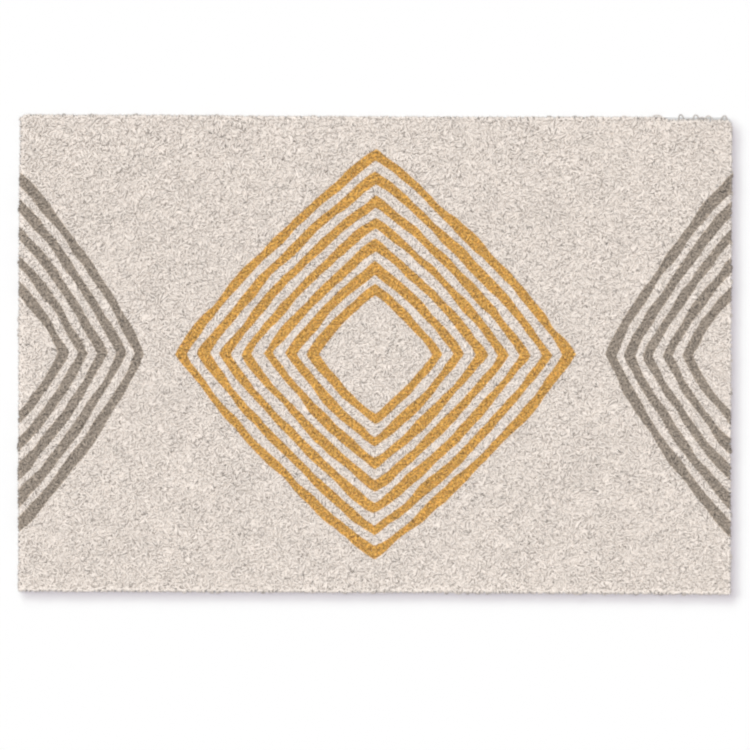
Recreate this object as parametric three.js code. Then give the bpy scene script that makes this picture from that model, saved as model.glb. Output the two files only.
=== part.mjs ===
// A loop-pile doormat, lying face up on the floor: one die-cut piece of matting, whose curly loops
// are fused to a thin backing sheet. It is modelled as one solid with the whole reach of the pile.
// Millimetres, +Z up. The origin is the centre of the underside, X runs along the long side, and
// the front edge, where a person stands to read the print, faces -Y.
import * as THREE from "three";

// Driving dimensions.
const LENGTH = 914; // long side, over the rim's outermost loops
const DEPTH = 612; // short side, over the rim's outermost loops
const HEIGHT = 9; // from the underside to the tops of the loops
const BACKING = 2; // the sheet that the loops are fused to
const OVERHANG = 1.2; // how far the rim's loops stand out past the backing
const RIM_ROLL = 4; // width of the band where the pile rolls over at the rim
const BACK_CORNER = 9.5; // radius of the two back corners
const FRONT_CORNER = 5; // radius of the two front corners
const CELL = 15; // pitch of the lumps in the pile
const LUMP = 0.4; // how far a lump stands above or sinks below the pile's level
const RAGGED = 0.6; // how far the rim wanders in and out between two lumps
const SEED = 24;

// How far each side stands out of true, at its two ends and its middle. The start is the left end
// of the front and back, and the front end of the left and right.
const SIDE_BOWS = {
  back: { start: 0.9, middle: -0.6, end: 1.2 },
  front: { start: 0.6, middle: 0, end: 0.5 },
  left: { start: -0.3, middle: 0.3, end: 0 },
  right: { start: 1, middle: 0.6, end: 0.2 },
};

// The rim's section, from the pile's upper edge down to the floor.
const RIM_SECTION = [
  { height: HEIGHT - 0.3 * RIM_ROLL, inset: OVERHANG, ragged: 0.5 },
  { height: HEIGHT - 0.8 * RIM_ROLL, inset: 0, ragged: 1 },
  { height: BACKING + 1, inset: 0.2, ragged: 1 },
  { height: BACKING, inset: OVERHANG, ragged: 0 },
  { height: 0, inset: OVERHANG, ragged: 0 },
];

// A number from -1 to 1 that is the same in every run.
const jitter = () => 2 * THREE.MathUtils.seededRandom() - 1;

function bowCurve({ start, middle, end }) {
  return new THREE.SplineCurve([
    new THREE.Vector2(0, start),
    new THREE.Vector2(0.5, middle),
    new THREE.Vector2(1, end),
  ]);
}

// Where the grid's lines cross one axis: two close to each rim, and the rest a lump apart.
function gridLines(half) {
  const inner = half - 2 * RIM_ROLL;
  const cells = Math.round((2 * inner) / CELL);
  const even = Array.from({ length: cells + 1 }, (_, i) => inner * ((2 * i) / cells - 1));
  return [-half + OVERHANG, -half + RIM_ROLL, ...even, half - RIM_ROLL, half - OVERHANG];
}

// Rounds the outline's corners: a point in a corner's square is drawn in to its quarter circle.
function roundCorner(point) {
  const radius = point.y > 0 ? BACK_CORNER : FRONT_CORNER;
  const centre = new THREE.Vector2(LENGTH / 2, DEPTH / 2).subScalar(radius);
  const past = new THREE.Vector2(Math.abs(point.x), Math.abs(point.y)).sub(centre);
  if (past.x <= 0 || past.y <= 0) return point;
  past.multiplyScalar(Math.max(past.x, past.y) / past.length());
  past.add(centre);
  return point.set(Math.sign(point.x) * past.x, Math.sign(point.y) * past.y);
}

const bows = Object.fromEntries(
  Object.entries(SIDE_BOWS).map(([side, bow]) => [side, bowCurve(bow)]),
);

// Moves a point with the sides nearest to it, which are all a little out of true.
function bowSides(point) {
  const acrossX = THREE.MathUtils.clamp(point.x / LENGTH + 0.5, 0, 1);
  const acrossY = THREE.MathUtils.clamp(point.y / DEPTH + 0.5, 0, 1);
  const bowX = (point.x > 0 ? bows.right : bows.left).getPoint(acrossY).y;
  const bowY = (point.y > 0 ? bows.back : bows.front).getPoint(acrossX).y;
  return point.set(point.x * (1 + (2 * bowX) / LENGTH), point.y * (1 + (2 * bowY) / DEPTH));
}

// The grid's outermost lines as [column, row] pairs, counter-clockwise seen from above.
function rimCells(columns, rows) {
  const right = columns - 1;
  const back = rows - 1;
  const run = (count, at) => Array.from({ length: count }, (_, i) => at(i));
  return [
    ...run(right, (i) => [i, 0]),
    ...run(back, (i) => [right, i]),
    ...run(right, (i) => [right - i, back]),
    ...run(back, (i) => [0, back - i]),
  ];
}

function matGeometry() {
  THREE.MathUtils.seededRandom(SEED);
  const xs = gridLines(LENGTH / 2);
  const ys = gridLines(DEPTH / 2);
  const positions = [];
  const triangles = [];
  const addPoint = (plan, height) => positions.push(plan.x, plan.y, height) / 3 - 1;

  // The rim's part of the plan, at the section's inset and with its share of the raggedness.
  const rim = rimCells(xs.length, ys.length);
  const wander = rim.map(() => RAGGED * jitter());
  const rimPoint = ([column, row], n, { inset, ragged }) => {
    const out = OVERHANG - inset + wander[n] * ragged;
    const x = xs[column] + (column === 0 ? -out : column === xs.length - 1 ? out : 0);
    const y = ys[row] + (row === 0 ? -out : row === ys.length - 1 ? out : 0);
    return bowSides(roundCorner(new THREE.Vector2(x, y)));
  };
  const rings = RIM_SECTION.map((level) =>
    rim.map((cell, n) => addPoint(rimPoint(cell, n, level), level.height)),
  );

  // The pile's top, whose outermost points are the section's first ring.
  const top = xs.map(() => []);
  rim.forEach(([column, row], n) => (top[column][row] = rings[0][n]));
  for (let i = 1; i < xs.length - 1; i++)
    for (let j = 1; j < ys.length - 1; j++) {
      const plan = bowSides(roundCorner(new THREE.Vector2(xs[i], ys[j])));
      top[i][j] = addPoint(plan, HEIGHT - LUMP + LUMP * jitter());
    }
  for (let i = 0; i < xs.length - 1; i++)
    for (let j = 0; j < ys.length - 1; j++) {
      const [a, b, c, d] = [top[i][j], top[i + 1][j], top[i + 1][j + 1], top[i][j + 1]];
      triangles.push(a, b, c, a, c, d);
    }

  // The rim's wall, and the flat underside as a fan about its middle.
  const middle = addPoint(new THREE.Vector2(0, 0), 0);
  rim.forEach((_, n) => {
    const next = (n + 1) % rim.length;
    for (let k = 0; k < rings.length - 1; k++) {
      const [upper, lower] = [rings[k], rings[k + 1]];
      triangles.push(lower[n], lower[next], upper[next], lower[n], upper[next], upper[n]);
    }
    const foot = rings[rings.length - 1];
    triangles.push(middle, foot[next], foot[n]);
  });

  const geometry = new THREE.BufferGeometry();
  geometry.setAttribute("position", new THREE.Float32BufferAttribute(positions, 3));
  geometry.setIndex(triangles);
  geometry.computeBoundingBox();
  const centre = geometry.boundingBox.getCenter(new THREE.Vector3());
  geometry.translate(-centre.x, -centre.y, 0);
  geometry.computeVertexNormals();
  return geometry;
}

const pile = new THREE.MeshStandardMaterial({ color: 0xddd3ca, roughness: 0.85, metalness: 0 });

const mat = new THREE.Mesh(matGeometry(), pile);
mat.name = "mat";

const doormat = new THREE.Group();
doormat.add(mat);

export default doormat;
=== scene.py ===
import math

import bpy
import numpy as np
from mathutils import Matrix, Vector


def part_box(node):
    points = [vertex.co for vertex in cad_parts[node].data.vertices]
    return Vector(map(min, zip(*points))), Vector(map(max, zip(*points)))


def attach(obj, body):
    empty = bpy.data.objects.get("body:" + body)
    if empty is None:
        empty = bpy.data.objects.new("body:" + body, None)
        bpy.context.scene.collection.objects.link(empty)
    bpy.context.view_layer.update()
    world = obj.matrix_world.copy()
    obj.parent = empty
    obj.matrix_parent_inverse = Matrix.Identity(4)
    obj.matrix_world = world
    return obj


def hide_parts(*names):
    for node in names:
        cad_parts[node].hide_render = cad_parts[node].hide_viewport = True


# A printed loop-pile doormat, seen from straight above on a white floor. Metres, +Z up, in the
# frame of the solid: the origin is the centre of the underside and the front edge faces -Y.
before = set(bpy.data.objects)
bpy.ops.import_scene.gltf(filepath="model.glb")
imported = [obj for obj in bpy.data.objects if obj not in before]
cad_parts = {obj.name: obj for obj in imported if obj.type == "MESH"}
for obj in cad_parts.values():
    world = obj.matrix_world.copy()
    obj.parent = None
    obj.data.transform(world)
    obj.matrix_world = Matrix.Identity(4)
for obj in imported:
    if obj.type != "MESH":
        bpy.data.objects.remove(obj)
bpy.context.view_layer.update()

MM = 0.001
HALF_LENGTH, HALF_DEPTH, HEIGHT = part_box("mat")[1]
HALVES = np.array([HALF_LENGTH, HALF_DEPTH])

# A length that is divided by is never less than this, so that it is never zero.
LEAST_LENGTH = 1e-9

# The photograph's frame, and where the mat lies in it, in pixels.
PHOTO_SIDE = 750
MAT_LEFT = 17.1
MAT_RIGHT = 733.0
MAT_MIDDLE = (375.0, 354.3)
MAT_TURN = math.radians(-0.25)
PICTURE_SOFTNESS = 2.4

# A long lens, in millimetres, so that the camera stands far off and sees the mat from straight above.
LENS = 200

# The outline is read from the solid, at stations along each side, without the few points that
# stand furthest out. Its corners are rounded as the solid's are.
STATIONS = 13
RIM_BAND = 2.5 * MM
RIM_SHARE = 0.85
BACK_CORNER = 9.5 * MM
FRONT_CORNER = 5.0 * MM
OUTLINE_STEP = 2 * MM

# The thin sheet that the curls are fused to. Its grid has lines close together in the corners.
BACKING = 2.0 * MM
BACKING_EDGE = 0.3 * MM
BACKING_CELL = 15 * MM
BACKING_CORNER_LINES = (2.0 * MM, 4.5 * MM, 7.0 * MM)
OVERHANG = 1.2 * MM

# The matted lower pile that shows between the strands.
BED_HEIGHT = 5.2 * MM
BED_LUMP = 0.7 * MM
BED_CELL = 5.0 * MM
BED_INSET = 3.2 * MM
BED_SEED = 11

# The curly strands of the pile: they meander in plan, ride up and down, and dive at both ends.
PILE_SEED = 7
PILE_PIECES = 5
STRANDS = 3700
STRAND_STEPS = 31
STRAND_STEP = 1.4 * MM
STRAND_RADIUS = 1.7 * MM
STRAND_FLATNESS = 0.75
MEANDER_LENGTH = (7 * MM, 10 * MM)
MEANDER_SWING = (math.radians(45), math.radians(85))
STRAND_LEAN = math.radians(22)
TURN_PER_STEP = 0.22
CREST_LENGTH = (4.4 * MM, 6.2 * MM)
CREST_HEIGHT = (1.2 * MM, 1.7 * MM)
STRAND_MIDDLE = (5.9 * MM, 6.7 * MM)
STRAND_TOP = HEIGHT - STRAND_FLATNESS * STRAND_RADIUS
DIVE = 1.2 * MM
DIVE_STEPS = 2
EDGE_WANDER = 1.2 * MM
TUBE_CORNERS = np.radians([90, 210, 330])

# How much each strand is lighter or darker than the rest.
TONE_SEED = 12
TONE_SPREAD = 0.5

# How the strands are spread evenly: they move down the slopes of a map of how crowded the crests are.
CROWD_CELL = 1.0 * MM
CROWD_MARGIN = 8
CROWD_BLUR = 1.5 * MM
CROWD_ROUNDS = 80
CROWD_PUSH = 0.5 * MM
PUSH_PER_SLOPE = 6.0 * MM
PUSH_SOFTENINGS = 2
CREST_FROM = 5.4 * MM
LEAST_WEIGHT = 0.05

# The curls that roll over the rim. Each turns from the pile's top, through its outermost point at
# 0 degrees, to under the edge. It is shifted by up to a share of the pitch, and leans and sways.
RIM_PITCH = 2.9 * MM
RIM_SHIFT = 0.4
RIM_RADIUS = 1.35 * MM
RIM_TURN = np.radians(np.linspace(115, -85, 9))
RIM_BULGE = (1.7 * MM, 2.4 * MM)
RIM_OUT = (-0.5 * MM, 0.35 * MM)
RIM_MIDDLE = 4.8 * MM
RIM_RISE = (2.0 * MM, 2.5 * MM)
RIM_SLANT = 3.0 * MM
RIM_SWAY = 0.9 * MM
RIM_SWAY_PHASE = 6.0

# The thin loops that have come loose and stand out past the rim. Each turns from one foot, through
# its outermost point at 90 degrees, to the other foot. Slant and lift are shares of its reach.
LOOSE_LOOPS = 50
LOOSE_RADIUS = 1.0 * MM
LOOSE_TURN = np.radians(np.linspace(-30, 210, 11))
LOOSE_WIDTH = (3.2 * MM, 6.0 * MM)
LOOSE_REACH = (0.6 * MM, 1.2 * MM)
LOOSE_HEIGHT = (4.0 * MM, 6.5 * MM)
LOOSE_SLANT = 0.3
LOOSE_LIFT = (-0.3, 0.2)

# The stretch of the back edge, up to the right corner, where curls have been pulled out: a strip of
# the backing lies bare there, and the loops that are left stand out over it.
TORN_FROM = 368 * MM
TORN_RAMP = 9 * MM
TORN_DEPTH = 3.6 * MM
TORN_LOOPS = [
    {"along": 361 * MM, "width": 11.0 * MM, "reach": 2.0 * MM},
    {"along": 392 * MM, "width": 6.5 * MM, "reach": 6.6 * MM},
    {"along": 411 * MM, "width": 7.5 * MM, "reach": 6.2 * MM},
    {"along": 419 * MM, "width": 5.5 * MM, "reach": 3.2 * MM},
    {"along": 427 * MM, "width": 8.5 * MM, "reach": 5.0 * MM},
    {"along": 447 * MM, "width": 7.0 * MM, "reach": 5.2 * MM},
]

# The print: nested lozenges, one whole in the middle and one half at each short edge.
OCHRE_LOZENGE = {"middle": (0.0, 0.0), "half_width": 262 * MM, "half_height": 268 * MM}
GREY_LOZENGES = [
    {"middle": (-457 * MM, 0.0), "half_width": 168 * MM, "half_height": 240 * MM},
    {"middle": (457 * MM, 0.0), "half_width": 168 * MM, "half_height": 240 * MM},
]
BANDED_SHARE = 0.76
LOZENGE_BULGE = 1.12
BAND_PITCH = 20 * MM
BAND_WIDTH = 10.6 * MM
BAND_SOFTNESS = 0.024
BAND_UNEVEN = 0.8
PRINT_WAVER = 9 * MM
PRINT_RAGGED = 0.8 * MM
INK_UNEVEN = 0.45

GROUND = (0.84, 0.77, 0.71, 1)
OCHRE = (0.70, 0.40, 0.092, 1)
GREY = (0.374, 0.315, 0.26, 1)
BACKING_DARK = (0.52, 0.52, 0.52, 1)
BACKING_LIGHT = (0.64, 0.64, 0.64, 1)

# How fine each noise is, in lumps to a metre, and the values that a noise seldom leaves.
WAVER_SCALE = 16.0
RAGGED_SCALE = 420.0
INK_SCALE = 400.0
PATCH_SCALE = 22.0
FIBRE_SCALE = 1500.0
PEBBLE_SCALE = 700.0
NOISE_LOW = 0.3
NOISE_HIGH = 0.7

# The heights over which the painted shade on the pile's colour clears, between the strands and down at the
# roots.
SHADED_UP_TO = 4.0 * MM
CLEAR_FROM = 8.0 * MM
ROOTS_UP_TO = 2.0 * MM
ROOTS_CLEAR_FROM = 4.5 * MM
ROOT_SHADE = 0.5

# Each piece has a map for baking, which leans a little and has a margin round it.
BAKE_LEAN = (0.25, 0.12)
BAKE_MARGIN = 0.002

# The lamps that throw the floor's soft shadow, by their azimuths. It is faintly lilac because they
# are faintly green, and the floor's fill makes up for that on the open floor.
FLOOR_LIGHTS = {"left": 164, "middle": 137, "back": 110}
FLOOR_LIGHT_COLOUR = (0.97, 1.06, 0.97)
FLOOR_FILL_COLOUR = (1.042, 0.914, 1.042)

# The floor reaches so far that its edges never show.
FLOOR_HALF = 60.0


def make_camera():
    """A long lens straight above the mat, which puts it where the photograph has it."""
    scene = bpy.context.scene
    data = bpy.data.cameras.new("camera")
    data.lens = LENS
    data.dof.use_dof = False
    camera = bpy.data.objects.new("camera", data)
    scene.collection.objects.link(camera)
    metres_per_pixel = 2 * HALF_LENGTH / (MAT_RIGHT - MAT_LEFT)
    width = metres_per_pixel * PHOTO_SIDE
    off_x = (PHOTO_SIDE / 2 - MAT_MIDDLE[0]) * metres_per_pixel
    off_y = (MAT_MIDDLE[1] - PHOTO_SIDE / 2) * metres_per_pixel
    away = width * data.lens / data.sensor_width
    camera.location = (off_x, off_y, HEIGHT + away)
    camera.rotation_euler = (0, 0, -MAT_TURN)
    scene.camera = camera
    scene.view_settings.view_transform = "Standard"
    scene.cycles.filter_width = PICTURE_SOFTNESS


def make_light(name, azimuth, elevation, softness, strength, lit, shadow=True, colour=(1, 1, 1)):
    """A broad far light that reaches only the given pieces, with or without shadows."""
    data = bpy.data.lights.new(name, "SUN")
    data.angle = math.radians(softness)
    data.color = colour
    data.energy = strength
    data.use_shadow = shadow
    lamp = bpy.data.objects.new(name, data)
    azimuth, elevation = math.radians(azimuth), math.radians(elevation)
    flat = math.cos(elevation)
    towards = Vector((flat * math.cos(azimuth), flat * math.sin(azimuth), math.sin(elevation)))
    lamp.rotation_euler = (-towards).to_track_quat("-Z", "Y").to_euler()
    bpy.context.scene.collection.objects.link(lamp)
    reached = bpy.data.collections.new(name + "_reaches")
    for piece in lit:
        reached.objects.link(piece)
    lamp.light_linking.receiver_collection = reached


def make_world(strength):
    """An even white light from all round."""
    world = bpy.data.worlds.new("studio")
    world.use_nodes = True
    background = world.node_tree.nodes["Background"]
    background.inputs["Color"].default_value = (1, 1, 1, 1)
    background.inputs["Strength"].default_value = strength
    bpy.context.scene.world = world


class Steps:
    """Adds nodes to a tree one after another. An input is a value or another node's socket."""

    # The places of a Mix node's sockets when it mixes colours.
    MIX_FACTOR, MIX_A, MIX_B = 0, 6, 7
    MIX_RESULT = 2

    def __init__(self, tree):
        self.tree = tree

    def feed(self, socket, value):
        """Links the other socket to this one, or sets the value."""
        if isinstance(value, bpy.types.NodeSocket):
            self.tree.links.new(value, socket)
        else:
            socket.default_value = value

    def node(self, kind, inputs=None, **settings):
        node = self.tree.nodes.new(kind)
        for name, value in settings.items():
            setattr(node, name, value)
        for name, value in (inputs or {}).items():
            self.feed(node.inputs[name], value)
        return node

    def math(self, operation, *values, clamp=False):
        inputs = dict(enumerate(values))
        return self.node("ShaderNodeMath", inputs, operation=operation, use_clamp=clamp).outputs[0]

    def noise(self, vector, scale, detail=2.0, roughness=0.5):
        inputs = {"Vector": vector, "Scale": scale, "Detail": detail, "Roughness": roughness}
        return self.node("ShaderNodeTexNoise", inputs).outputs["Fac"]

    def rescale(self, value, low, high, to_low, to_high):
        inputs = {"Value": value, "From Min": low, "From Max": high, "To Min": to_low, "To Max": to_high}
        return self.node("ShaderNodeMapRange", inputs).outputs["Result"]

    def rescale_noise(self, value, to_low, to_high):
        """Spreads the usual values of a noise over a range."""
        return self.rescale(value, NOISE_LOW, NOISE_HIGH, to_low, to_high)

    def grey(self, tone):
        inputs = {"Red": tone, "Green": tone, "Blue": tone}
        return self.node("ShaderNodeCombineColor", inputs).outputs["Color"]

    def mix(self, factor, a, b, blend="MIX"):
        inputs = {self.MIX_FACTOR: factor, self.MIX_A: a, self.MIX_B: b}
        node = self.node("ShaderNodeMix", inputs, data_type="RGBA", blend_type=blend)
        return node.outputs[self.MIX_RESULT]

    def place(self):
        """The place on the mat, in metres."""
        return self.node("ShaderNodeTexCoord").outputs["Object"]

    def group(self, tree, inputs):
        return self.node("ShaderNodeGroup", inputs, node_tree=tree).outputs


def new_group(name, inputs, outputs):
    """A shader node group with named sockets, and the steps that fill it."""
    group = bpy.data.node_groups.new(name, "ShaderNodeTree")
    for socket, kind, value in inputs:
        made = group.interface.new_socket(socket, in_out="INPUT", socket_type=kind)
        made.default_value = value
    for socket, kind in outputs:
        group.interface.new_socket(socket, in_out="OUTPUT", socket_type=kind)
    steps = Steps(group)
    return group, steps, steps.node("NodeGroupInput").outputs, steps.node("NodeGroupOutput").inputs


def lozenge_bands(steps, x, y, band_share, lozenge):
    """A mask of one lozenge's nested bands. Their share of the pitch says how wide they are."""
    width, height = lozenge["half_width"], lozenge["half_height"]
    middle_x, middle_y = lozenge["middle"]
    across = width * height / math.hypot(width, height)
    bands = math.floor(BANDED_SHARE * across / BAND_PITCH)
    core = across - bands * BAND_PITCH
    reach = []
    for place, middle, half in ((x, middle_x, width), (y, middle_y, height)):
        from_middle = steps.math("ABSOLUTE", steps.math("SUBTRACT", place, middle))
        reach.append(steps.math("POWER", steps.math("DIVIDE", from_middle, half), LOZENGE_BULGE))
    outwards = steps.math("POWER", steps.math("ADD", *reach), 1 / LOZENGE_BULGE)
    outwards = steps.math("SUBTRACT", steps.math("MULTIPLY", outwards, across), core)
    band = steps.math("DIVIDE", outwards, BAND_PITCH)
    from_band = steps.math("ABSOLUTE", steps.math("SUBTRACT", steps.math("FRACT", band), 0.5))
    half_share = steps.math("MULTIPLY", band_share, 0.5)
    edge = steps.math("DIVIDE", steps.math("SUBTRACT", half_share, from_band), BAND_SOFTNESS)
    mask = steps.math("ADD", edge, 0.5, clamp=True)
    past_core = steps.math("GREATER_THAN", band, 0.0)
    before_last = steps.math("LESS_THAN", band, bands)
    return steps.math("MULTIPLY", mask, steps.math("MULTIPLY", past_core, before_last))


def noise_shift(steps, vector, scale, detail):
    """Three independent noises around zero, as the X, Y and Z of a node's outputs."""
    noise = steps.node("ShaderNodeTexNoise", {"Vector": vector, "Scale": scale, "Detail": detail})
    inputs = {0: noise.outputs["Color"], 1: (0.5, 0.5, 0.5)}
    centred = steps.node("ShaderNodeVectorMath", inputs, operation="SUBTRACT").outputs[0]
    return steps.node("ShaderNodeSeparateXYZ", {"Vector": centred}).outputs


def print_group():
    """The printed colour by the place in plan: wavering bands of ink, unevenly taken by the curls."""
    group, steps, given, out = new_group(
        "printed_colour",
        [
            ("Ground", "NodeSocketColor", GROUND),
            ("Ochre", "NodeSocketColor", OCHRE),
            ("Grey", "NodeSocketColor", GREY),
        ],
        [("Colour", "NodeSocketColor")],
    )
    place = steps.place()
    plan = steps.node("ShaderNodeSeparateXYZ", {"Vector": place}).outputs
    flat = steps.node("ShaderNodeCombineXYZ", {"X": plan["X"], "Y": plan["Y"], "Z": 0.0}).outputs[0]
    slow = noise_shift(steps, flat, WAVER_SCALE, detail=2.0)
    fine = noise_shift(steps, flat, RAGGED_SCALE, detail=1.0)
    moved = []
    for axis in ("X", "Y"):
        waver = steps.math("MULTIPLY", slow[axis], PRINT_WAVER)
        ragged = steps.math("MULTIPLY", fine[axis], PRINT_RAGGED)
        moved.append(steps.math("ADD", plan[axis], steps.math("ADD", waver, ragged)))
    share = steps.math("MULTIPLY", slow["Z"], BAND_UNEVEN)
    share = steps.math("ADD", share, BAND_WIDTH / BAND_PITCH)
    ochre = lozenge_bands(steps, *moved, share, OCHRE_LOZENGE)
    sides = [lozenge_bands(steps, *moved, share, lozenge) for lozenge in GREY_LOZENGES]
    grey = steps.math("MAXIMUM", *sides)
    uneven = steps.noise(place, INK_SCALE)
    uneven = steps.rescale_noise(uneven, 1 - INK_UNEVEN, 1 + INK_UNEVEN)
    ink = steps.mix(grey, given["Ochre"], given["Grey"])
    ink = steps.mix(1.0, ink, steps.grey(uneven), "MULTIPLY")
    inked = steps.math("MAXIMUM", ochre, grey)
    steps.feed(out["Colour"], steps.mix(inked, given["Ground"], ink))
    return group


def pile_shade_and_tone_group():
    """Paints shade into a pile colour low down between the curls and at the roots, and varies its tone
    strand by strand.
    """
    group, steps, given, out = new_group(
        "pile_shade_and_tone",
        [
            ("Colour", "NodeSocketColor", GROUND),
            ("Depth shade", "NodeSocketFloat", 0.7),
            ("Strand contrast", "NodeSocketFloat", 0.1),
            ("Patch contrast", "NodeSocketFloat", 0.05),
        ],
        [("Colour", "NodeSocketColor")],
    )
    place = steps.place()
    height = steps.node("ShaderNodeSeparateXYZ", {"Vector": place}).outputs["Z"]
    # Painted shade: darker the lower the pile lies, and darker again down at the roots.
    depth = steps.rescale(height, SHADED_UP_TO, CLEAR_FROM, given["Depth shade"], 1.0)
    root = steps.rescale(height, ROOTS_UP_TO, ROOTS_CLEAR_FROM, ROOT_SHADE, 1.0)
    depth = steps.math("MULTIPLY", depth, root)
    strand = steps.node("ShaderNodeAttribute", attribute_name="strand_tone").outputs["Fac"]
    strand = steps.math("MULTIPLY", strand, given["Strand contrast"])
    patch = steps.math("SUBTRACT", steps.noise(place, PATCH_SCALE, detail=3.0), 0.5)
    patch = steps.math("MULTIPLY", patch, given["Patch contrast"])
    # The painted shade, times the tone that differs at random strand by strand and in patches.
    tone = steps.math("MULTIPLY", depth, steps.math("ADD", 1.0, steps.math("ADD", strand, patch)))
    steps.feed(out["Colour"], steps.mix(1.0, given["Colour"], steps.grey(tone), "MULTIPLY"))
    return group


def fibre_group():
    """The fine scratchy grain of the extruded strands."""
    group, steps, given, out = new_group(
        "fibre_grain",
        [("Scale", "NodeSocketFloat", FIBRE_SCALE)],
        [("Height", "NodeSocketFloat"), ("Roughness", "NodeSocketFloat")],
    )
    grain = steps.noise(steps.place(), given["Scale"], detail=3.0, roughness=0.6)
    steps.feed(out["Height"], grain)
    steps.feed(out["Roughness"], steps.rescale_noise(grain, to_low=0.62, to_high=0.85))
    return group


PRINT = print_group()
PILE_SHADE_AND_TONE = pile_shade_and_tone_group()
FIBRE = fibre_group()


def new_material(name):
    """A material, the steps that fill it, and its shader."""
    material = bpy.data.materials.new(name)
    material.use_nodes = True
    steps = Steps(material.node_tree)
    return material, steps, material.node_tree.nodes["Principled BSDF"]


def pile_material(name, depth_shade, strand_contrast):
    """The printed curls: ground, ochre and grey by the place in plan, with painted shade low down between
    them.
    """
    material, steps, shader = new_material(name)
    colour = steps.group(PRINT, {"Ground": GROUND, "Ochre": OCHRE, "Grey": GREY})["Colour"]
    tone = {
        "Colour": colour,
        "Depth shade": depth_shade,
        "Strand contrast": strand_contrast,
        "Patch contrast": 0.02,
    }
    grain = steps.group(FIBRE, {"Scale": FIBRE_SCALE})
    relief = {"Height": grain["Height"], "Strength": 0.4, "Distance": 0.1 * MM}
    steps.feed(shader.inputs["Base Color"], steps.group(PILE_SHADE_AND_TONE, tone)["Colour"])
    steps.feed(shader.inputs["Roughness"], grain["Roughness"])
    steps.feed(shader.inputs["Normal"], steps.node("ShaderNodeBump", relief).outputs["Normal"])
    steps.feed(shader.inputs["Specular IOR Level"], 0.35)
    steps.feed(shader.inputs["Sheen Weight"], 0.15)
    return material


def backing_material():
    """A matt grey sheet, finely pebbled."""
    material, steps, shader = new_material("backing")
    pebble = steps.noise(steps.place(), PEBBLE_SCALE, detail=3.0, roughness=0.55)
    colour = steps.mix(steps.rescale_noise(pebble, 0.0, 1.0), BACKING_DARK, BACKING_LIGHT)
    relief = {"Height": pebble, "Strength": 0.5, "Distance": 0.4 * MM}
    steps.feed(shader.inputs["Base Color"], colour)
    steps.feed(shader.inputs["Normal"], steps.node("ShaderNodeBump", relief).outputs["Normal"])
    steps.feed(shader.inputs["Roughness"], 0.7)
    return material


def floor_material():
    """A plain white floor."""
    material, steps, shader = new_material("floor")
    steps.feed(shader.inputs["Base Color"], (0.9, 0.9, 0.9, 1))
    steps.feed(shader.inputs["Roughness"], 0.9)
    steps.feed(shader.inputs["Specular IOR Level"], 0.1)
    return material


def read_sides():
    """How far each side of the solid reaches, at stations along it: the mat's real outline."""
    points = np.array([v.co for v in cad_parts["mat"].data.vertices])
    reach = {}
    for side, out, along in (("left", 0, 1), ("right", 0, 1), ("front", 1, 0), ("back", 1, 0)):
        sign = -1 if side in ("left", "front") else 1
        span = HALVES[along]
        rim = points[sign * points[:, out] > HALVES[out] - RIM_BAND]
        at = np.linspace(-span, span, STATIONS)
        near = [rim[np.abs(rim[:, along] - a) < span / STATIONS][:, out] for a in at]
        reach[side] = (at, np.array([np.quantile(sign * n, RIM_SHARE) for n in near]))
    return reach


SIDES = read_sides()


def bow_sides(plan, torn_depth):
    """Moves plan points, given for a true rectangle, with the sides nearest to them."""
    x, y = plan[..., 0], plan[..., 1]
    torn = torn_depth * ((x - TORN_FROM) / TORN_RAMP).clip(0, 1)
    reach_x = np.where(x > 0, np.interp(y, *SIDES["right"]), np.interp(y, *SIDES["left"]))
    reach_y = np.where(y > 0, np.interp(x, *SIDES["back"]) - torn, np.interp(x, *SIDES["front"]))
    return np.stack([x * reach_x / HALF_LENGTH, y * reach_y / HALF_DEPTH], -1)


def on_mat(plan, torn_depth=TORN_DEPTH):
    """Places plan points, given for a true rectangle, within the mat's rounded and bowed outline."""
    radius = np.where(plan[..., 1:] > 0, BACK_CORNER, FRONT_CORNER)
    corner = HALVES - radius
    past = np.abs(plan) - corner
    in_corner = (past > 0).all(-1, keepdims=True)
    distance = np.maximum(np.linalg.norm(past, axis=-1, keepdims=True), LEAST_LENGTH)
    pull = past.max(-1, keepdims=True) / distance
    rounded = np.sign(plan) * (corner + past * pull)
    return bow_sides(np.where(in_corner, rounded, plan), torn_depth)


def raised(plan, height):
    """Points in space from points in plan and their heights."""
    return np.concatenate([plan, height[..., None]], -1)


def new_piece(name, points, faces, material):
    """A smooth mesh that rides on the part's one body and stands for its solid."""
    mesh = bpy.data.meshes.new(name)
    mesh.from_pydata(points.tolist(), [], faces)
    mesh.materials.append(material)
    mesh.polygons.foreach_set("use_smooth", [True] * len(mesh.polygons))
    mesh.update()
    piece = bpy.data.objects.new(name, mesh)
    bpy.context.scene.collection.objects.link(piece)
    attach(piece, "root")
    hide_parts("mat")
    return piece


def bake_map(mesh, corners):
    """A map of the piece from above, leaning a little so that upright faces have some width."""
    plan = corners[:, :2] + corners[:, 2:] * np.array(BAKE_LEAN)
    low, high = plan.min(0), plan.max(0)
    places = BAKE_MARGIN + (1 - 2 * BAKE_MARGIN) * (plan - low) / (high - low)
    mesh.uv_layers.new(name="OFBake").data.foreach_set("uv", places.ravel())


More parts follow.
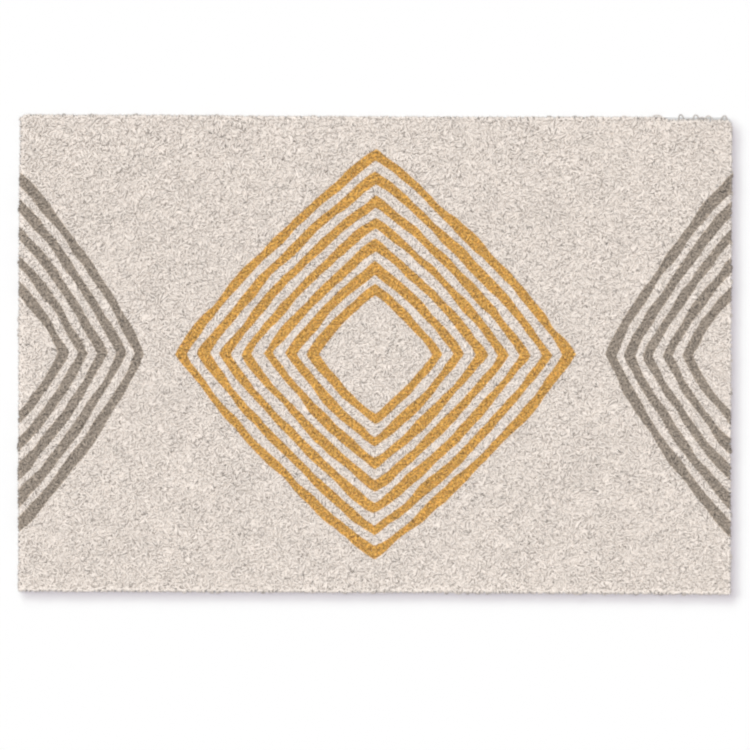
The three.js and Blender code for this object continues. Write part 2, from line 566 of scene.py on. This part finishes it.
def tubes(paths, radius, flatness):
    """Three-sided strands along paths[strand, step], flat side down, with closed ends."""
    count, length = paths.shape[:2]
    along = np.gradient(paths, axis=1)
    along /= np.linalg.norm(along, axis=-1, keepdims=True)
    side = np.cross((0, 0, 1.0), along)
    side /= np.maximum(np.linalg.norm(side, axis=-1, keepdims=True), LEAST_LENGTH)
    up = np.cross(along, side)
    across = np.cos(TUBE_CORNERS)[:, None] * side[:, :, None]
    upright = np.sin(TUBE_CORNERS)[:, None] * up[:, :, None]
    points = paths[:, :, None] + radius * (across + upright) * (1, 1, flatness)
    index = np.arange(count * length * len(TUBE_CORNERS)).reshape(count, length, -1)
    turned = np.roll(index, -1, axis=2)
    walls = np.stack([index[:, :-1], index[:, 1:], turned[:, 1:], turned[:, :-1]], -1)
    ends = np.concatenate([index[:, 0], index[:, -1, ::-1]])
    return points.reshape(-1, 3), walls.reshape(-1, 4).tolist() + ends.tolist()


def pile_piece(name, paths, radius, material, flatness=1.0):
    """One piece of pile: strands along paths, each a little lighter or darker than the rest."""
    points, faces = tubes(paths, radius, flatness)
    piece = new_piece(name, points, faces, material)
    mesh = piece.data
    strands, length = paths.shape[:2]
    tones = np.random.default_rng(TONE_SEED).normal(0, TONE_SPREAD, strands).clip(-1, 1)
    tones = np.repeat(tones, length * len(TUBE_CORNERS)).astype(np.float32)
    mesh.attributes.new("strand_tone", "FLOAT", "POINT").data.foreach_set("value", tones)
    corners = np.zeros(len(mesh.loops), np.int32)
    mesh.loops.foreach_get("vertex_index", corners)
    bake_map(mesh, points[corners])
    return piece


def meanders(rng):
    """Noodles that start out anywhere: their points in plan, for a true rectangle, and heights."""
    columns = round(math.sqrt(STRANDS * HALF_LENGTH / HALF_DEPTH))
    rows = round(STRANDS / columns)
    cell = 2 * HALVES / (columns, rows)
    grid = np.stack(np.meshgrid(np.arange(columns), np.arange(rows), indexing="ij"), -1).reshape(-1, 2)
    middle = (grid + rng.uniform(0, 1, grid.shape)) * cell - HALVES
    n = len(middle)

    # In plan, a strand keeps to its drift but for a wave and a slow wander.
    along = np.arange(STRAND_STEPS) * STRAND_STEP
    turns = 2 * math.pi / rng.uniform(*MEANDER_LENGTH, (n, 1))
    swing = rng.uniform(*MEANDER_SWING, (n, 1))
    start = rng.uniform(0, 2 * math.pi, (n, 1))
    drift = rng.normal(0, STRAND_LEAN, (n, 1)) + rng.choice([0, math.pi], (n, 1))
    wander = rng.normal(0, TURN_PER_STEP, (n, STRAND_STEPS)).cumsum(1)
    heading = drift + wander + swing * np.sin(turns * along + start)
    step = STRAND_STEP * np.stack([np.cos(heading), np.sin(heading)], -1)
    plan = np.concatenate([np.zeros((n, 1, 2)), step.cumsum(1)], 1)
    plan += (middle - plan.mean(1))[:, None]

    # In height, it rises to a crest and sinks again and again, and its ends dive.
    along = np.arange(STRAND_STEPS + 1) * STRAND_STEP
    crest = rng.uniform(*CREST_HEIGHT, (n, 1))
    wave = 2 * math.pi * along / rng.uniform(*CREST_LENGTH, (n, 1))
    rise = crest * np.sin(wave + rng.uniform(0, 2 * math.pi, (n, 1)))
    to_end = np.minimum(along, along[::-1]) / (DIVE_STEPS * STRAND_STEP)
    dive = DIVE * (1 - to_end).clip(0, 1)
    height = rng.uniform(*STRAND_MIDDLE, (n, 1)) + rise - dive
    return plan, height.clip(BED_HEIGHT, STRAND_TOP)


def crowding(plan, weight):
    """How crowded the crests are over a grid on the mat, blurred, and outside it as on average."""
    low = -HALVES - CROWD_MARGIN * CROWD_CELL
    shape = np.ceil(-2 * low / CROWD_CELL).astype(int)
    cell = ((plan.reshape(-1, 2) - low) / CROWD_CELL).astype(int).clip(0, shape - 1)
    index = cell[:, 0] * shape[1] + cell[:, 1]
    count = np.bincount(index, weight.ravel(), minlength=shape.prod()).reshape(shape)
    inner = (slice(CROWD_MARGIN, -CROWD_MARGIN),) * 2
    crowd = np.full(shape, count[inner].mean())
    crowd[inner] = count[inner]
    waves = [np.fft.fftfreq(shape[0], CROWD_CELL)[:, None], np.fft.rfftfreq(shape[1], CROWD_CELL)]
    blur = np.exp(-2 * (math.pi * CROWD_BLUR) ** 2 * (waves[0] ** 2 + waves[1] ** 2))
    return low, np.fft.irfft2(np.fft.rfft2(crowd) * blur, shape) / crowd.mean()


def spread_out(plan, height):
    """Moves the strands from crowded places to bare ones, bending them gently to cover the mat."""
    weight = ((height - CREST_FROM) / (STRAND_TOP - CREST_FROM)).clip(LEAST_WEIGHT, 1)
    for _ in range(CROWD_ROUNDS):
        low, crowd = crowding(plan, weight)
        cell = ((plan - low) / CROWD_CELL - 0.5).astype(int).clip(0, np.array(crowd.shape) - 2)
        push = -np.stack([g[cell[..., 0], cell[..., 1]] for g in np.gradient(crowd)], -1)
        for _ in range(PUSH_SOFTENINGS):
            ends = np.pad(push, ((0, 0), (1, 1), (0, 0)), mode="edge")
            push = (ends[:, :-2] + 2 * ends[:, 1:-1] + ends[:, 2:]) / 4
        plan = plan + (PUSH_PER_SLOPE * push).clip(-CROWD_PUSH, CROWD_PUSH)
    return plan


def folded_back(plan, limit):
    """Turns strands that run past the rim back onto the mat."""
    return np.sign(plan) * (limit - np.abs(limit - np.abs(plan)))


def smoothed(plan):
    """Softens the kinks of strands, but leaves their ends where they are."""
    inner = (plan[:, :-2] + 2 * plan[:, 1:-1] + plan[:, 2:]) / 4
    return np.concatenate([plan[:, :1], inner, plan[:, -1:]], 1)


def curl_paths(rng):
    """The pile's strands, spread evenly over the mat and kept within its outline."""
    plan, height = meanders(rng)
    limit = HALVES - STRAND_RADIUS
    plan = spread_out(folded_back(plan, limit), height)
    plan = smoothed(folded_back(plan, limit - rng.uniform(0, EDGE_WANDER, (len(plan), 1, 2))))
    return raised(on_mat(plan), height)


def outline():
    """The mat's outline as a closed run of points, counter-clockwise seen from above."""
    corners = np.array([(1, -1), (1, 1), (-1, 1), (-1, -1)]) * HALVES
    sides = []
    for start, end in zip(corners, np.roll(corners, -1, axis=0)):
        count = round(np.linalg.norm(end - start) / OUTLINE_STEP)
        sides.append(start + (end - start) * np.arange(count)[:, None] / count)
    ring = on_mat(np.concatenate(sides))
    return np.concatenate([ring, ring[:1]])


OUTLINE = outline()
OUTLINE_SIDES = np.diff(OUTLINE, axis=0)
OUTLINE_LENGTHS = np.linalg.norm(OUTLINE_SIDES, axis=1)
OUTLINE_PASSED = np.concatenate([[0], OUTLINE_LENGTHS.cumsum()])
OUTLINE_LENGTH = OUTLINE_PASSED[-1]


def rim_places(distances):
    """Points on the mat's outline at distances along it, with the ways outwards there."""
    distances = distances % OUTLINE_LENGTH
    at = np.stack([np.interp(distances, OUTLINE_PASSED, axis) for axis in OUTLINE.T], -1)
    side = np.searchsorted(OUTLINE_PASSED, distances, side="right") - 1
    side = side.clip(0, len(OUTLINE_SIDES) - 1)
    along = OUTLINE_SIDES[side] / OUTLINE_LENGTHS[side][:, None]
    return at, np.stack([along[:, 1], -along[:, 0]], -1)


def from_rim(at, out, reach, aside):
    """Points in plan at distances outwards from places on the rim, and aside along it."""
    along = np.stack([-out[:, 1], out[:, 0]], -1)
    return at[:, None] + out[:, None] * reach[..., None] + along[:, None] * aside[..., None]


def rim_curls(rng):
    """Curls that rise over the rim, bulge out past the backing and turn back in under the pile."""
    count = round(OUTLINE_LENGTH / RIM_PITCH)
    places = np.arange(count) + rng.uniform(-RIM_SHIFT, RIM_SHIFT, count)
    at, out = rim_places(places * RIM_PITCH)
    bulge = rng.uniform(*RIM_BULGE, (count, 1))
    reach = rng.uniform(*RIM_OUT, (count, 1)) - RIM_RADIUS - bulge + bulge * np.cos(RIM_TURN)
    height = RIM_MIDDLE + rng.uniform(*RIM_RISE, (count, 1)) * np.sin(RIM_TURN)
    slant = rng.uniform(-RIM_SLANT, RIM_SLANT, (count, 1)) * np.linspace(-0.5, 0.5, len(RIM_TURN))
    sway = rng.uniform(-RIM_SWAY, RIM_SWAY, (count, 1))
    sway = sway * np.sin(2 * RIM_TURN + rng.uniform(0, RIM_SWAY_PHASE, (count, 1)))
    return raised(from_rim(at, out, reach, slant + sway), height)


def loose_loops(rng):
    """Arches that stand out past the rim: those of the torn stretch, and short ones anywhere."""
    short_at, short_out = rim_places(rng.uniform(0, OUTLINE_LENGTH, LOOSE_LOOPS))
    short_width = rng.uniform(*LOOSE_WIDTH, LOOSE_LOOPS)
    short_reach = rng.uniform(*LOOSE_REACH, LOOSE_LOOPS)
    torn_at = on_mat(np.array([(loop["along"], HALF_DEPTH) for loop in TORN_LOOPS]))
    torn_out = np.tile((0.0, 1.0), (len(torn_at), 1))
    at = np.concatenate([torn_at, short_at])
    out = np.concatenate([torn_out, short_out])
    width = np.concatenate([[loop["width"] for loop in TORN_LOOPS], short_width])[:, None]
    reach = np.concatenate([[loop["reach"] for loop in TORN_LOOPS], short_reach])[:, None]
    outwards = reach * np.sin(LOOSE_TURN)
    slant = rng.uniform(-LOOSE_SLANT, LOOSE_SLANT, (len(at), 1)) * outwards
    lift = rng.uniform(*LOOSE_LIFT, (len(at), 1)) * outwards
    height = rng.uniform(*LOOSE_HEIGHT, (len(at), 1)) + lift
    aside = width / 2 * np.cos(LOOSE_TURN) + slant
    return raised(from_rim(at, out, outwards - LOOSE_RADIUS, aside), height)


def make_pile():
    """The strands in several pieces from left to right, the rim's curls and the loose loops."""
    rng = np.random.default_rng(PILE_SEED)
    paths = curl_paths(rng)
    material = pile_material("pile_curls", depth_shade=0.88, strand_contrast=0.05)
    order = np.argsort(paths[:, :, 0].mean(1))
    pieces = []
    for n, part in enumerate(np.array_split(order, PILE_PIECES)):
        name = f"pile_curls_{n + 1}"
        pieces.append(pile_piece(name, paths[part], STRAND_RADIUS, material, STRAND_FLATNESS))
    # The rim's curls and the loose loops get deeper painted shade low down than the pile's top.
    material = pile_material("rim_curls", depth_shade=0.78, strand_contrast=0.08)
    pieces.append(pile_piece("pile_rim_curls", rim_curls(rng), RIM_RADIUS, material))
    material = pile_material("loose_loops", depth_shade=0.4, strand_contrast=0.1)
    pieces.append(pile_piece("pile_loose_loops", loose_loops(rng), LOOSE_RADIUS, material))
    return pieces


def grid_on_mat(xs, ys, torn_depth=TORN_DEPTH):
    """A grid on the mat: its points in plan, its upward faces, and its rim, counter-clockwise."""
    plan = on_mat(np.stack(np.meshgrid(xs, ys, indexing="ij"), -1), torn_depth)
    index = np.arange(len(xs) * len(ys)).reshape(len(xs), len(ys))
    faces = np.stack([index[:-1, :-1], index[1:, :-1], index[1:, 1:], index[:-1, 1:]], -1)
    rim = np.concatenate([index[:-1, 0], index[-1, :-1], index[:0:-1, -1], index[0, :0:-1]])
    return plan.reshape(-1, 2), faces.reshape(-1, 4), rim


def make_bed():
    """The matted lower pile: a closed slab with a lumpy top, which shows between the strands."""
    rng = np.random.default_rng(BED_SEED)
    half = HALVES - BED_INSET
    xs, ys = (np.linspace(-h, h, round(2 * h / BED_CELL) + 1) for h in half)
    plan, top, rim = grid_on_mat(xs, ys)
    upper = raised(plan, BED_HEIGHT + BED_LUMP * rng.uniform(-1, 1, len(plan)))
    foot = raised(plan[rim], np.full(len(rim), BACKING))
    below = np.arange(len(rim)) + len(plan)
    walls = np.stack([rim, below, np.roll(below, -1), np.roll(rim, -1)], -1)
    faces = top.tolist() + walls.tolist() + [below[::-1].tolist()]
    # The bed is painted in the pile's shade, deepest down its wall at the roots.
    material = pile_material("pile_bed", depth_shade=0.88, strand_contrast=0.0)
    return new_piece("pile_bed", np.concatenate([upper, foot]), faces, material)


def backing_lines(half):
    """Grid lines across the backing: close together in its corners, and evenly spaced between."""
    corner = half - np.array([0.0, BACKING_EDGE, *BACKING_CORNER_LINES, BACK_CORNER])
    count = round(2 * corner[-1] / BACKING_CELL)
    even = np.linspace(-corner[-1], corner[-1], count + 1)
    return np.concatenate([-corner[:-1], even, corner[-2::-1]])


def make_backing():
    """The thin sheet that the curls are fused to, with softly broken edges."""
    xs, ys = (backing_lines(half - OVERHANG) for half in HALVES)
    plan, top, rim = grid_on_mat(xs, ys, torn_depth=0)
    edge = np.zeros(len(plan))
    edge[rim] = BACKING_EDGE
    points = np.concatenate([raised(plan, edge), raised(plan, BACKING - edge)])
    walls = np.stack([rim, np.roll(rim, -1), np.roll(rim, -1) + len(plan), rim + len(plan)], -1)
    faces = top[:, ::-1].tolist() + (top + len(plan)).tolist() + walls.tolist()
    return new_piece("backing", points, faces, backing_material())


def make_floor():
    """A plain square floor under the mat."""
    corners = np.array([(-1, -1, 0), (1, -1, 0), (1, 1, 0), (-1, 1, 0)]) * FLOOR_HALF
    mesh = bpy.data.meshes.new("floor")
    mesh.from_pydata(corners.tolist(), [], [(0, 1, 2, 3)])
    mesh.materials.append(floor_material())
    floor = bpy.data.objects.new("floor", mesh)
    bpy.context.scene.collection.objects.link(floor)
    return floor


def light_floor(floor):
    """The lamps that throw the soft shadow to the right and the front, and a fill without shadow."""
    for side, azimuth in FLOOR_LIGHTS.items():
        make_light(
            "floor_light_" + side,
            azimuth=azimuth,
            elevation=24.3,
            softness=17,
            strength=1.03,
            lit=[floor],
            colour=FLOOR_LIGHT_COLOUR,
        )
    make_light(
        "floor_fill",
        azimuth=0,
        elevation=90,
        softness=10,
        strength=0.899,
        lit=[floor],
        shadow=False,
        colour=FLOOR_FILL_COLOUR,
    )


def light_mat(pieces):
    """A high broad lamp that models the curls, and a fill without shadow."""
    make_light("mat_light", azimuth=117, elevation=75, softness=60, strength=1.94, lit=pieces)
    make_light("mat_fill", azimuth=117, elevation=80, softness=10, strength=0.62, lit=pieces, shadow=False)


make_camera()
make_world(strength=0.42)
floor = make_floor()
backing = make_backing()
bed = make_bed()
pile = make_pile()
light_floor(floor)
light_mat([backing, bed, *pile])
